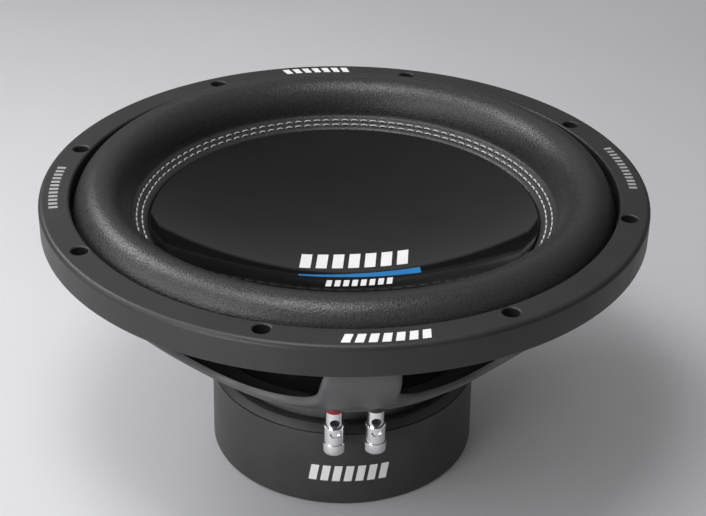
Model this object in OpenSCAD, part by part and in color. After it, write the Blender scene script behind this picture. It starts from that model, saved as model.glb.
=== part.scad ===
/* [Overall] */
// Outer diameter of the trim ring
ring_d = 320; // [316:1:324]
// Height of the trim ring's flat top above the base
ring_top = 157.1; // [156:0.1:160]
// Height of the trim ring's outer side
ring_h = 16.3; // [15:0.1:18]
// Inner diameter of the trim ring
ring_bore_d = 288; // [287:0.5:289]

/* [Mounting] */
// Diameter of the circle through the mounting holes
hole_circle_d = 299.5; // [298:0.5:301]
// Number of mounting holes
hole_count = 8; // [4:2:12]
// Diameter of each hole in the steel flange
flange_hole_d = 5.8; // [5:0.1:6.6]
// Diameter of each screw head recess in the trim ring
head_hole_d = 8.2; // [7.4:0.1:9]
// Turn of the hole pattern from the terminal spokes, in degrees
hole_turn = 3.75; // [-10:0.25:10]

/* [Basket] */
// Diameter of the wall behind the flange, which drops into the panel cut-out
wall_d = 279; // [278:0.5:280]
// Sheet thickness
sheet_t = 2; // [1.6:0.1:2.2]
// Number of spokes and of windows
spoke_count = 6; // [4:2:8]
// Width of each spoke
spoke_w = 38; // [28:1:42]
// Height of the windows' lower edge above the base
window_low = 82; // [81:1:96]
// Corner radius at the foot of each window
window_corner = 34; // [12:1:34]
// Height of the shelf's underside above the base
shelf_low = 70; // [69:0.5:71]

/* [Surround and cone] */
// Radius of the crest of the half roll
roll_r = 128.3; // [128:0.1:128.6]
// Half the width of the roll
roll_half_w = 15; // [14.6:0.1:15.2]
// Height of the roll above its outer foot
roll_h = 20; // [17:0.5:22]
// Slope of the stitched band and the cone, in degrees
cone_slope = 28.5; // [28:0.1:29]
// Height of the band's top face at the outer stitch row
band_top = 142.5; // [142:0.1:143]
// Radius of the outer stitch row
stitch_outer_r = 110.2; // [109.8:0.1:110.6]
// Radius of the inner stitch row
stitch_inner_r = 107.3; // [106.9:0.1:107.6]
// Radius of the dust cap
cap_r = 103.5; // [102:0.1:103.8]
// Depth of the dust cap's dish
cap_depth = 22; // [12:0.5:24]

/* [Motor] */
// Diameter of the ferrite magnets
magnet_d = 140; // [138:1:140]
// Diameter of the rubber boot at its foot
boot_d = 147.2; // [146:0.1:148]
// Height of the rubber boot's side, below its shoulder
boot_h = 46.1; // [46:0.1:47]
// Height of the boot's sloping shoulder
shoulder_h = 4; // [2:0.5:5]
// Thickness of each of the two magnets
magnet_t = 14; // [13:0.5:14]
// Thickness of the top plate
plate_t = 8; // [7:0.5:8]
// Inner diameter of the voice coil former
coil_d = 63; // [63:0.1:64]
// Height of the windings
winding_h = 22; // [18:1:24]

/* [Push terminals] */
// Distance from the speaker's axis to the plane of a terminal pair
terminal_y = 82.9; // [82.5:0.1:83.2]
// Distance between the two terminals of a pair
terminal_gap = 21.3; // [20:0.1:24]
// Diameter of the post
post_d = 9; // [8.6:0.1:9]
// Diameter of the sliding sleeve
sleeve_d = 10.8; // [10.6:0.1:11]
// Diameter of the push cap
push_cap_d = 12; // [11.8:0.1:12.4]
// Diameter of the wire hole
wire_hole_d = 5; // [3:0.1:5]
// Travel of the sleeve
push_travel = 6.1; // [6.1:0.1:6.3]

/* [Hidden] */

$fn = 96;
eps = 0.01;              // overshoot of a cutting shape past a face
glue = 0.05;             // glue line between parts that are bonded together
run = 0.05;              // radial running clearance of a sliding fit

// Colours
satin_black = [0.13, 0.13, 0.14];
gloss_black = [0.04, 0.04, 0.05];
rubber_black = [0.10, 0.10, 0.11];
steel_black = [0.20, 0.20, 0.22];
chrome = [0.82, 0.83, 0.85];
steel_bright = [0.66, 0.67, 0.68];
ferrite_grey = [0.27, 0.27, 0.29];
copper = [0.72, 0.43, 0.22];
thread_grey = [0.80, 0.80, 0.82];
cloth_black = [0.11, 0.11, 0.12];
kraft_brown = [0.45, 0.28, 0.16];
signal_red = [0.72, 0.08, 0.10];

// Ring and flange
ring_r = ring_d / 2;
ring_ri = ring_bore_d / 2;
flange_low = ring_top - ring_h;
flange_top = flange_low + sheet_t;
skirt_t = 3;             // wall of the ring's skirt, outside the flange edge
flange_r = ring_r - skirt_t - 0.5;
foot_t = 1.5;            // thickness of the surround's clamped outer lip
foot_r = 146;            // radius of the surround's clamped outer lip

// Basket wall and shelf
wall_r = wall_d / 2;
shelf_top = shelf_low + sheet_t;
shelf_r = 88;            // radius of the shelf's outer edge
cone_run = 1;            // rise over run of the basket's sloping wall
wall_bow = 2;            // how far the sloping wall bows out from a straight line
spoke_turn = -0.6;       // turn of the spokes about the axis, in degrees
wall_bend = shelf_top + (wall_r - shelf_r) * cone_run;
neck_r = 64;             // outer radius of the neck below the shelf
slant = sheet_t * sqrt(2);
window_top = flange_low - 4;

// Motor stack
back_gap = 1;            // thickness of the boot's lip under the back plate
back_t = 7.5;            // thickness of the back plate
lower_mag_z = back_gap + back_t;
upper_mag_z = lower_mag_z + magnet_t;
plate_z = upper_mag_z + magnet_t;
plate_top = plate_z + plate_t;
plate_r = magnet_d / 2 - 2;
magnet_bore_r = 42;
pole_r = coil_d / 2 - 0.5;
vent_r = 10;
screw_circle_r = 54;
screw_count = 6;

// Moving parts
former_ri = coil_d / 2;
former_t = 0.5;
former_ro = former_ri + former_t;
wire_t = 0.6;            // thickness of one winding
winding_inner_ri = former_ro + glue;
winding_outer_ri = winding_inner_ri + wire_t + glue;
gap_r = winding_outer_ri + wire_t + 0.7;
coil_mid = plate_z + plate_t / 2;
coil_low = coil_mid - winding_h / 2;
rise = tan(cone_slope);
band_t = 1.3;            // thickness of the surround's stitched band
cone_t = 1.7;            // vertical thickness of the cone
former_top = 99;
neck_collar_r = 33.9;
dish_t = 1.5;            // thickness of the dust cap
dish_power = 2.2;        // steepening of the dish towards its edge

// Push terminals
post_top = 69;
hole_z = 63.4;           // height of the wire hole in the post
sleeve_top = hole_z - 2.5;
sleeve_hole_z = hole_z - push_travel;
sleeve_low = 47.5;
cap_rim = 50.3;
cap_low = 43.5;
shoulder_z = 54.3;       // step between the sleeve's two bores
collar_r = post_d / 2 + 0.3;
wide_bore_r = collar_r + run;
collar_z = shoulder_z - 0.1;
post_low = collar_z - 1;
cap_floor = cap_low + 1.6;
bush_r = 5;
shank_r = 1.5;
board_t = 2;             // thickness of the terminal plate
board_top = shelf_top + board_t;
tab_t = 0.8;
nut_h = 2.4;

// Height of the band's top face at radius r
function band_z(r) = band_top + (r - stitch_outer_r) * rise;
// Height of the cone's top face at radius r
function cone_z(r) = band_z(r) - band_t - 0.2;
// Height of the dish's top face at radius r
cap_edge = band_z(cap_r) + 0.9;
function dish_z(r) = cap_edge - cap_depth * (1 - pow(r / cap_r, dish_power));

// Points of an elliptic arc from angle a to angle b
function arc(cx, cy, rx, ry, a, b, n) =
    [for (i = [0:n]) let (t = a + (b - a) * i / n) [cx + rx * cos(t), cy + ry * sin(t)]];

// Positions of the four terminals: pairs at the front (-Y) and the rear (+Y)
function side_turn(rear) = rear ? 180 : 0;
function terminal_x(red) = red ? -terminal_gap / 2 : terminal_gap / 2;

// Points between a and b on the sloping wall, which bows outward and down
function bowed(a, b, n) =
    [for (i = [1:n - 1]) let (t = i / n, bow = 2 * sqrt(2) * wall_bow * t * (1 - t))
        a + (b - a) * t + [bow, -bow]];

// Unit vector of v
function unit(v) = v / norm(v);
// Direction of a route at point i
function heading(p, i) = unit(p[min(i + 1, len(p) - 1)] - p[max(i - 1, 0)]);
// Ring of points round route point i; up is a direction that the route never follows
function ring_at(p, i, r, sides, up) =
    let (t = heading(p, i), u = unit(cross(up, t)), w = cross(t, u))
    [for (k = [0:sides - 1]) p[i] + r * (u * cos(360 * k / sides) + w * sin(360 * k / sides))];

// Closed round bar of radius r that follows the points p
module swept_bar(p, r, sides, up) {
    n = len(p);
    points = [for (i = [0:n - 1]) each ring_at(p, i, r, sides, up)];
    walls = [for (i = [0:n - 2], k = [0:sides - 1]) let (j = (k + 1) % sides)
        [i * sides + k, (i + 1) * sides + k, (i + 1) * sides + j, i * sides + j]];
    low = [[for (k = [0:sides - 1]) k]];
    high = [[for (k = [0:sides - 1]) n * sides - 1 - k]];
    polyhedron(points = points, faces = concat(walls, low, high), convexity = 6);
}

// Copies its children round the axis
module around(count, start) {
    for (i = [0:count - 1]) rotate([0, 0, start + i * 360 / count]) children();
}

// Flat ring from z0 to z1
module tube(ro, ri, z0, z1) {
    translate([0, 0, z0]) difference() {
        cylinder(r = ro, h = z1 - z0);
        translate([0, 0, -1]) cylinder(r = ri, h = z1 - z0 + 2);
    }
}

// Outline of one window seen along its radius: x across, y up
module window_outline() {
    half = 180 / spoke_count;
    function side_x(r) = sqrt(r * r - pow(spoke_w / 2, 2)) * sin(half) - spoke_w / 2 * cos(half);
    low_r = shelf_r + (window_low - shelf_top) / cone_run;
    top_x = side_x(wall_r);
    low_x = side_x(low_r);
    lean = atan2(top_x - low_x, wall_bend - window_low);
    pull = 1 / cos(lean) - tan(lean);
    fillet = min(window_corner, 0.9 * low_x / pull);
    corner = arc(low_x - fillet * pull, window_low + fillet, fillet, fillet, -90, -lean, 10);
    right = concat(corner, [[top_x, wall_bend + 2], [top_x, window_top]]);
    polygon(concat(right, [for (i = [len(right) - 1:-1:0]) [-right[i].x, right[i].y]]));
}

// Cut-outs for one pair of terminal bushes
module bush_cuts() {
    for (s = [-1, 1]) translate([s * terminal_gap / 2, -terminal_y, shelf_low - 8])
        cylinder(r = bush_r + 0.1, h = 8 + sheet_t);
}

module basket() {
    inner_low = [shelf_r + sheet_t - slant, shelf_top];
    inner_high = [wall_r - sheet_t, wall_bend + slant - sheet_t];
    color(steel_black) difference() {
        rotate_extrude($fn = 180) polygon(concat(
            [[flange_r, flange_low], [wall_r, flange_low], [wall_r, wall_bend]],
            bowed([wall_r, wall_bend], [shelf_r, shelf_top], 10),
            [[shelf_r, shelf_top], [shelf_r, shelf_low], [neck_r, shelf_low], [neck_r, plate_top],
                [neck_r - 18, plate_top], [neck_r - 18, plate_top + sheet_t],
                [neck_r - sheet_t, plate_top + sheet_t], [neck_r - sheet_t, shelf_top], inner_low],
            bowed(inner_low, inner_high, 10),
            [inner_high, [wall_r - sheet_t, flange_top], [flange_r, flange_top]]));
        around(spoke_count, 180 / spoke_count + spoke_turn)
            rotate([90, 0, 0]) translate([0, 0, neck_r + 6]) linear_extrude(wall_r - neck_r)
                window_outline();
        around(hole_count, hole_turn - 90 + 180 / hole_count)
            translate([hole_circle_d / 2, 0, flange_low - 1]) cylinder(d = flange_hole_d, h = sheet_t + 2);
        around(screw_count, 0)
            translate([screw_circle_r, 0, plate_top - 1]) cylinder(r = 3.2, h = sheet_t + 2);
        around(2, 0) bush_cuts();
    }
}

module trim_ring() {
    bevel = 1.2;
    color(satin_black) difference() {
        rotate_extrude($fn = 180) polygon([
            [ring_r, flange_low], [ring_r, ring_top - bevel], [ring_r - bevel, ring_top],
            [ring_ri + 0.8, ring_top], [ring_ri, ring_top - 0.8], [ring_ri, flange_top + foot_t],
            [foot_r + 0.5, flange_top + foot_t], [foot_r + 0.5, flange_top],
            [ring_r - skirt_t, flange_top], [ring_r - skirt_t, flange_low]]);
        around(hole_count, hole_turn - 90 + 180 / hole_count)
            translate([hole_circle_d / 2, 0, flange_top - 1]) cylinder(d = head_hole_d, h = ring_h);
    }
}

module surround() {
    skin = 2.2;
    crest_low = flange_top + foot_t;
    inner_foot = roll_r - roll_half_w;
    inner_z = band_z(inner_foot);
    color(rubber_black) rotate_extrude($fn = 180) polygon(concat(
        [[foot_r, flange_top], [foot_r, crest_low]],
        arc(roll_r, crest_low, roll_half_w, roll_h, 0, 176, 22),
        [[inner_foot, inner_z], [cap_r + 0.6, band_z(cap_r + 0.6)],
            [cap_r + 0.6, band_z(cap_r + 0.6) - band_t], [inner_foot, inner_z - band_t]],
        arc(roll_r, crest_low - 0.6, roll_half_w - skin, roll_h - skin, 180, 0, 22),
        [[roll_r + roll_half_w - skin, flange_top]]));
}

module spider() {
    cloth = 0.8;
    outer_r = 75;
    inner_r = former_ro + 0.3;
    waves = 5;
    wave_r0 = 36;
    wave_r1 = 66;
    lift = 3;
    function wave_z(r) = shelf_top + lift + 2 * sin(360 * waves * (r - wave_r0) / (wave_r1 - wave_r0));
    top = [for (i = [0:60]) let (r = wave_r0 + (wave_r1 - wave_r0) * i / 60) [r, wave_z(r) + cloth]];
    low = [for (p = top) [p.x, p.y - cloth * 1.4]];
    n = len(top);
    color(cloth_black) rotate_extrude($fn = 120) polygon(concat(
        [[inner_r, shelf_top + lift + 3.5], [inner_r + cloth, shelf_top + lift + 3.5]],
        [[inner_r + cloth, shelf_top + lift + cloth]], top,
        [[wave_r1 + 2, shelf_top + cloth], [outer_r, shelf_top + cloth], [outer_r, shelf_top],
            [wave_r1 + 1.4, shelf_top]],
        [for (i = [0:n - 1]) low[n - 1 - i]],
        [[inner_r, shelf_top + lift - cloth * 0.4]]));
}

module top_plate() {
    color(steel_black) difference() {
        tube(plate_r, gap_r, plate_z, plate_top);
        around(screw_count, 0)
            translate([screw_circle_r, 0, plate_top - 7]) cylinder(r = 2.95, h = 8);
    }
}

module magnet(z) {
    color(ferrite_grey) tube(magnet_d / 2, magnet_bore_r, z, z + magnet_t);
}

module magnet_upper() { magnet(upper_mag_z); }

module magnet_lower() { magnet(lower_mag_z); }

module t_yoke() {
    color(steel_black) difference() {
        union() {
            translate([0, 0, back_gap]) cylinder(r = plate_r, h = back_t);
            translate([0, 0, back_gap]) cylinder(r = pole_r, h = plate_top - back_gap);
        }
        translate([0, 0, back_gap - 1]) cylinder(r = vent_r, h = plate_top);
        translate([0, 0, back_gap - eps]) cylinder(r1 = vent_r + 4, r2 = vent_r, h = 4);
        translate([0, 0, plate_top - 4 + eps]) cylinder(r1 = vent_r, r2 = vent_r + 4, h = 4);
    }
}

module magnet_boot() {
    soft = 2;
    boot_r = boot_d / 2;
    top_r = boot_r - 0.6;
    bead_r = top_r - shoulder_h;
    bead_top = boot_h + shoulder_h;
    inner_r = magnet_d / 2 + glue;
    color(rubber_black) rotate_extrude($fn = 180) polygon(concat(
        [[62, 0]], arc(boot_r - soft, soft, soft, soft, -90, 0, 5),
        [[top_r, boot_h]], arc(bead_r - soft, bead_top - soft, soft, soft, 45, 90, 3),
        [[neck_r + 1.6, bead_top], [neck_r + 1.6, plate_top], [inner_r, plate_top], [inner_r, back_gap],
            [62, back_gap]]));
}

module motor_screws() {
    head_z = plate_top + sheet_t;
    color(steel_bright) around(screw_count, 0) translate([screw_circle_r, 0, 0]) difference() {
        union() {
            translate([0, 0, plate_top - 6.5]) cylinder(r = 2.9, h = 6.5 + sheet_t + eps);
            translate([0, 0, head_z]) cylinder(r = 5, h = 2.2);
            translate([0, 0, head_z + 2.2]) cylinder(r1 = 5, r2 = 4, h = 0.9);
        }
        translate([0, 0, head_z + 1.2]) cylinder(r = 2.3, h = 3, $fn = 6);
    }
}

// Phenolic plate that lies on the shelf and carries one pair of terminals
module terminal_plate(rear) {
    color(kraft_brown) rotate([0, 0, side_turn(rear)]) difference() {
        intersection() {
            tube(86.3, 76.6, shelf_top, board_top);
            translate([-23, -95, shelf_top]) cube([46, 40, board_t]);
        }
        for (s = [-1, 1]) translate([s * terminal_gap / 2, -terminal_y, shelf_top - 1])
            cylinder(r = shank_r + glue, h = board_t + 2);
    }
}

module terminal_plate_front() { terminal_plate(false); }

module terminal_plate_rear() { terminal_plate(true); }

// Places its children on one terminal's axis
module at_terminal(rear, red) {
    rotate([0, 0, side_turn(rear)]) translate([terminal_x(red), -terminal_y, 0]) children();
}

// Places its children on all four terminals' axes
module at_terminals() {
    for (rear = [false, true], red = [false, true]) at_terminal(rear, red) children();
}

module terminal_nuts() {
    z = board_top + tab_t;
    color(steel_bright) at_terminals() difference() {
        translate([0, 0, z]) cylinder(d = 6.2, h = nut_h, $fn = 6);
        translate([0, 0, z - 1]) cylinder(r = shank_r + glue, h = nut_h + 2);
    }
}

module solder_tabs() {
    color(steel_bright) at_terminals() difference() {
        union() {
            translate([0, 0, board_top]) cylinder(r = 2.9, h = tab_t);
            translate([-1.6, 0, board_top]) cube([3.2, 6.4, tab_t]);
            translate([-1.6, 5.6, board_top]) cube([3.2, tab_t, 5]);
        }
        translate([0, 0, board_top - 1]) cylinder(r = shank_r + glue, h = tab_t + 2);
        translate([0, 5, board_top + 3.6]) rotate([-90, 0, 0]) cylinder(r = 0.9, h = 3);
    }
}

// Insulating bush in the basket's shelf
module bush(rear, red) {
    color(red ? signal_red : gloss_black) at_terminal(rear, red)
        tube(bush_r, shank_r + glue, post_top, shelf_top);
}

module bush_front_red() { bush(false, true); }

module bush_front_black() { bush(false, false); }

module bush_rear_red() { bush(true, true); }

module bush_rear_black() { bush(true, false); }

// Fixed post with its wire hole, its end collar and its threaded shank
module post(rear, red) {
    color(chrome) at_terminal(rear, red) difference() {
        union() {
            translate([0, 0, post_low]) cylinder(r = collar_r, h = collar_z - post_low);
            translate([0, 0, collar_z]) cylinder(d = post_d, h = post_top - collar_z);
            translate([0, 0, post_top - eps]) cylinder(r = shank_r, h = board_top + tab_t + nut_h + 1 - post_top);
        }
        translate([0, 0, hole_z]) rotate([90, 0, 0])
            translate([0, 0, -post_d]) cylinder(d = wire_hole_d, h = 2 * post_d);
    }
}

module post_front_red() { post(false, true); }

module post_front_black() { post(false, false); }

module post_rear_red() { post(true, true); }

module post_rear_black() { post(true, false); }

// Compression spring between the post's collar and the cap's floor
module push_spring(rear, red) {
    wire = 0.25;
    turns = 4.5;
    steps = 54;
    r = 3.5;
    z0 = cap_floor + wire + 0.05;
    z1 = post_low - wire - 0.05;
    route = [for (i = [0:steps]) let (a = 360 * turns * i / steps)
        [r * cos(a), r * sin(a), z0 + (z1 - z0) * i / steps]];
    color(steel_bright) at_terminal(rear, red) swept_bar(route, wire, 6, [0, 0, 1]);
}

module spring_front_red() { push_spring(false, true); }

module spring_front_black() { push_spring(false, false); }

module spring_rear_red() { push_spring(true, true); }

module spring_rear_black() { push_spring(true, false); }

// Tinsel lead from the solder tab up to the cone's underside, with slack for the cone's travel;
// x inward from the terminal, y up
lead_route = [[6.6, 77.4], [8.4, 77.6], [11.4, 78.8], [13.8, 81.2], [14.8, 84.6], [13.9, 87.8], [11.8, 90.6],
    [9.9, 93.4], [9.3, 96.6], [10.5, 99.8], [13.2, 101.9], [16.6, 102.6], [20.2, 102.1], [23.8, 101.4],
    [27, 102.2], [29.2, 104.6], [30, 107.8]];

module tinsel_lead(rear, red) {
    route = [for (p = lead_route) [0, p.x, p.y]];
    color(copper) at_terminal(rear, red) swept_bar(route, 0.8, 8, [1, 0, 0]);
}

module lead_front_red() { tinsel_lead(false, true); }

module lead_front_black() { tinsel_lead(false, false); }

module lead_rear_red() { tinsel_lead(true, true); }

module lead_rear_black() { tinsel_lead(true, false); }

module cone() {
    outer = roll_r - roll_half_w - 0.5;
    color(gloss_black) rotate_extrude($fn = 180) polygon([
        [outer, cone_z(outer)], [outer, cone_z(outer) - cone_t],
        [neck_collar_r + 2, cone_z(neck_collar_r + 2) - cone_t],
        [neck_collar_r, cone_z(neck_collar_r) - cone_t - 1.2], [neck_collar_r, former_top - 7],
        [former_ro + glue, former_top - 7], [former_ro + glue, cone_z(former_ro)]]);
}

module dust_cap() {
    foot = cap_r - 2.5;
    top = [for (i = [0:20]) let (r = cap_r * i / 20) [r, dish_z(r)]];
    low = [for (i = [20:-1:0]) let (r = foot * i / 20) [r, dish_z(r) - dish_t]];
    color(gloss_black) rotate_extrude($fn = 180) polygon(concat(
        top, [[cap_r, cone_z(cap_r) + glue], [foot, cone_z(foot) + glue]], low));
}

module voice_coil_former() {
    color(kraft_brown) tube(former_ro, former_ri, coil_low - 0.5, former_top);
}

module winding_inner() {
    color(copper) tube(winding_inner_ri + wire_t, winding_inner_ri, coil_low, coil_low + winding_h);
}

module winding_outer() {
    color(copper) tube(winding_outer_ri + wire_t, winding_outer_ri, coil_low, coil_low + winding_h);
}

// Row of thread that lies on the band at radius r
module stitch_row(r) {
    thread = 0.45;
    lift = (thread + 0.1) / cos(cone_slope);
    color(thread_grey) rotate_extrude($fn = 180)
        translate([r, band_z(r) + lift]) circle(r = thread, $fn = 16);
}

module stitch_outer() { stitch_row(stitch_outer_r); }

module stitch_inner() { stitch_row(stitch_inner_r); }

// Sliding sleeve with its own wire hole
module push_sleeve(rear, red) {
    color(chrome) at_terminal(rear, red) difference() {
        translate([0, 0, sleeve_low]) cylinder(d = sleeve_d, h = sleeve_top - sleeve_low);
        translate([0, 0, shoulder_z - 1]) cylinder(r = post_d / 2 + run, h = 12);
        translate([0, 0, sleeve_low - 1]) cylinder(r = wide_bore_r, h = shoulder_z - sleeve_low + 1);
        translate([0, 0, sleeve_hole_z]) rotate([90, 0, 0])
            translate([0, 0, -sleeve_d]) cylinder(d = wire_hole_d, h = 2 * sleeve_d);
    }
}

module sleeve_front_red() { push_sleeve(false, true); }

module sleeve_front_black() { push_sleeve(false, false); }

module sleeve_rear_red() { push_sleeve(true, true); }

module sleeve_rear_black() { push_sleeve(true, false); }

// Push cap pressed onto the sleeve's lower end
module push_cap(rear, red) {
    soft = 2;
    cap_r_out = push_cap_d / 2;
    color(chrome) at_terminal(rear, red) rotate_extrude() polygon(concat(
        [[0, cap_low]], arc(cap_r_out - soft, cap_low + soft, soft, soft, -90, 0, 6),
        [[cap_r_out, cap_rim - 0.3], [cap_r_out - 0.3, cap_rim], [sleeve_d / 2 + 0.02, cap_rim],
            [sleeve_d / 2 + 0.02, sleeve_low], [wide_bore_r, sleeve_low], [wide_bore_r, cap_floor],
            [0, cap_floor]]));
}

module push_cap_front_red() { push_cap(false, true); }

module push_cap_front_black() { push_cap(false, false); }

module push_cap_rear_red() { push_cap(true, true); }

module push_cap_rear_black() { push_cap(true, false); }

basket();
trim_ring();
surround();
spider();
top_plate();
magnet_upper();
magnet_lower();
t_yoke();
magnet_boot();
motor_screws();
terminal_plate_front();
terminal_plate_rear();
terminal_nuts();
solder_tabs();
bush_front_red();
bush_front_black();
bush_rear_red();
bush_rear_black();
post_front_red();
post_front_black();
post_rear_red();
post_rear_black();
spring_front_red();
spring_front_black();
spring_rear_red();
spring_rear_black();
lead_front_red();
lead_front_black();
lead_rear_red();
lead_rear_black();
cone();
dust_cap();
voice_coil_former();
winding_inner();
winding_outer();
stitch_outer();
stitch_inner();
sleeve_front_red();
sleeve_front_black();
sleeve_rear_red();
sleeve_rear_black();
push_cap_front_red();
push_cap_front_black();
push_cap_rear_red();
push_cap_rear_black();
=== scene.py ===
import math

import bmesh
import bpy
import numpy as np
from mathutils import Matrix, Vector


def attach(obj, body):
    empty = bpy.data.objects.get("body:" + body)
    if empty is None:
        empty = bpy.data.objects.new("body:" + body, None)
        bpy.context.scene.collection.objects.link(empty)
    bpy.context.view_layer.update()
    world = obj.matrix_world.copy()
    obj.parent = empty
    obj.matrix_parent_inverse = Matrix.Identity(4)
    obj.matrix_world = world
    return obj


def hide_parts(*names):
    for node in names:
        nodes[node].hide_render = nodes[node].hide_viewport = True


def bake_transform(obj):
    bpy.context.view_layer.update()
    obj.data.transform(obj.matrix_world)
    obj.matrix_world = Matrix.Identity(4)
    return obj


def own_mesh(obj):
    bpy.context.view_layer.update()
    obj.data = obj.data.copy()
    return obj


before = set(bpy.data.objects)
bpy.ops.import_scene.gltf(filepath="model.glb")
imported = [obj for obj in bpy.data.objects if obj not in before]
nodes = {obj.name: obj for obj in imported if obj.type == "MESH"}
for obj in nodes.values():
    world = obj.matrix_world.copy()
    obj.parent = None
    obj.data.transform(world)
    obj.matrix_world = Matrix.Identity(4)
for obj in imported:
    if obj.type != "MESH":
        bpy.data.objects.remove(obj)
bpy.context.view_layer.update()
scene = bpy.context.scene
MM = 0.001              # metres in a millimetre
PER_METRE = 1000.0      # millimetres in a metre

# ---------------------------------------------------------------- sizes, in millimetres and degrees
RING_R, RING_RI, RING_TOP, RING_LOW = 160.0, 144.0, 157.1, 140.8
FLANGE_TOP = 142.8
HOLE_CIRCLE_R, HOLE_COUNT, FIRST_HOLE, HOLE_PITCH = 149.75, 8, -63.75, 45
WINDOW_COUNT, SPOKE_TURN = 6, -0.6
ROLL_R, ROLL_HALF, ROLL_H, ROLL_FOOT = 128.3, 15.0, 20.0, 144.3
STITCH_OUTER, STITCH_INNER = 110.2, 107.3
STITCHES_OUTER, STITCHES_INNER = 124, 120
BAND_Z, SLOPE = 142.5, math.tan(math.radians(28.5))
DISH_R, DISH_DEPTH, DISH_POWER, DISH_STEP = 103.5, 22.0, 2.2, 0.9
TERMINAL_Y, TERMINAL_X = 82.9, 10.65
HOLE_Z, PUSH_TRAVEL = 63.4, 6.1
# side and colour of each push terminal, and the signs of its X and Y
TERMINALS = [("front", "red", -1, -1), ("front", "black", 1, -1),
             ("rear", "red", 1, 1), ("rear", "black", -1, 1)]


def band_z(r):
    """Height of the stitched band, which goes on as the cone, at a distance from the axis."""
    return BAND_Z + (r - STITCH_OUTER) * SLOPE


def dish_z(r):
    """Height of the glossy cap at a distance from the axis."""
    return band_z(DISH_R) + DISH_STEP - DISH_DEPTH * (1 - (r / DISH_R) ** DISH_POWER)


# ---------------------------------------------------------------- material tools
# values of a noise between which the colour and the roughness change
TINT_LOW, TINT_HIGH = 0.3, 0.7
ROUGH_LOW, ROUGH_HIGH = 0.35, 0.65
BLUE_SHARE = 1.03       # how much stronger blue is than red in the greys


def new_material(name):
    """New material, with its node tree and its Principled BSDF."""
    mat = bpy.data.materials.new(name)
    mat.use_nodes = True
    tree = mat.node_tree
    return mat, tree, tree.nodes["Principled BSDF"]


def node(tree, kind, **values):
    """New shader node. Each value is a property of the node or the number in one of its inputs."""
    made = tree.nodes.new(kind)
    for key, value in values.items():
        if hasattr(made, key):
            setattr(made, key, value)
        else:
            made.inputs[key.replace("_", " ")].default_value = value
    return made


def maths(tree, operation, *values):
    """Output of a math node. Each value is a number or another node's output."""
    made = node(tree, "ShaderNodeMath", operation=operation)
    for socket, value in zip(made.inputs, values):
        if isinstance(value, (int, float)):
            socket.default_value = value
        else:
            tree.links.new(value, socket)
    return made.outputs[0]


def place(tree):
    """The place on the object, in metres."""
    return node(tree, "ShaderNodeTexCoord").outputs["Object"]


def split(tree, vector):
    """The X, Y and Z of a vector, as outputs."""
    parts = node(tree, "ShaderNodeSeparateXYZ")
    tree.links.new(vector, parts.inputs[0])
    return parts.outputs


def noise(tree, scale, detail=4.0, rough=0.55):
    """Noise over the place on the object, with scale patches in a metre."""
    made = node(tree, "ShaderNodeTexNoise", Scale=scale, Detail=detail, Roughness=rough)
    tree.links.new(place(tree), made.inputs["Vector"])
    return made.outputs["Fac"]


def ramp(tree, source, low, high, a, b):
    """Maps source from low..high to a..b."""
    made = node(tree, "ShaderNodeMapRange")
    for key, value in (("From Min", low), ("From Max", high), ("To Min", a), ("To Max", b)):
        made.inputs[key].default_value = value
    tree.links.new(source, made.inputs["Value"])
    return made.outputs["Result"]


def tint(tree, source, dark, light):
    """Colour between dark and light as source goes from TINT_LOW to TINT_HIGH."""
    made = node(tree, "ShaderNodeValToRGB")
    stops = zip(made.color_ramp.elements, (TINT_LOW, TINT_HIGH), (dark, light))
    for stop, position, colour in stops:
        stop.position = position
        stop.color = (*colour, 1)
    tree.links.new(source, made.inputs["Fac"])
    return made.outputs["Color"]


def bump(tree, height, distance, below=None):
    """Normal with height as bump, distance metres deep, on top of the normal below."""
    made = node(tree, "ShaderNodeBump", Strength=1.0, Distance=distance)
    tree.links.new(height, made.inputs["Height"])
    if below is not None:
        tree.links.new(below, made.inputs["Normal"])
    return made.outputs["Normal"]


def surface(name, dark, light, rough, grain, grain_depth, mottle=60.0, metal=0.0, specular=0.5,
            wave=None, ripple=0.0):
    """Material with mottled colour and roughness, a fine grain and, where given, a wave as bump.
    rough is its (lowest, highest) roughness, and mottle the number of patches in a metre. The size and depth
    of the grain and the wave's depth, ripple, are in millimetres."""
    mat, tree, bsdf = new_material(name)
    patches = noise(tree, mottle, detail=5.0)
    fine = noise(tree, PER_METRE / grain, detail=2.0, rough=0.6)
    tree.links.new(tint(tree, patches, dark, light), bsdf.inputs["Base Color"])
    both = maths(tree, "MULTIPLY_ADD", fine, 0.5, maths(tree, "MULTIPLY", patches, 0.5))
    tree.links.new(ramp(tree, both, ROUGH_LOW, ROUGH_HIGH, *rough), bsdf.inputs["Roughness"])
    normal = bump(tree, fine, grain_depth * MM)
    if wave is not None:
        normal = bump(tree, wave(tree), ripple * MM, normal)
    tree.links.new(normal, bsdf.inputs["Normal"])
    bsdf.inputs["Metallic"].default_value = metal
    bsdf.inputs["Specular IOR Level"].default_value = specular
    return mat


def rings(pitch, along="r"):
    """Fine turned rings, pitch millimetres apart, across the radius or along the axis."""
    def build(tree):
        parts = split(tree, place(tree))
        if along == "r":
            flat = node(tree, "ShaderNodeCombineXYZ")
            tree.links.new(parts["X"], flat.inputs["X"])
            tree.links.new(parts["Y"], flat.inputs["Y"])
            size = node(tree, "ShaderNodeVectorMath", operation="LENGTH")
            tree.links.new(flat.outputs[0], size.inputs[0])
            distance = size.outputs["Value"]
        else:
            distance = parts["Z"]
        return maths(tree, "SINE", maths(tree, "MULTIPLY", distance, 2 * math.pi * PER_METRE / pitch))
    return build


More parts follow.
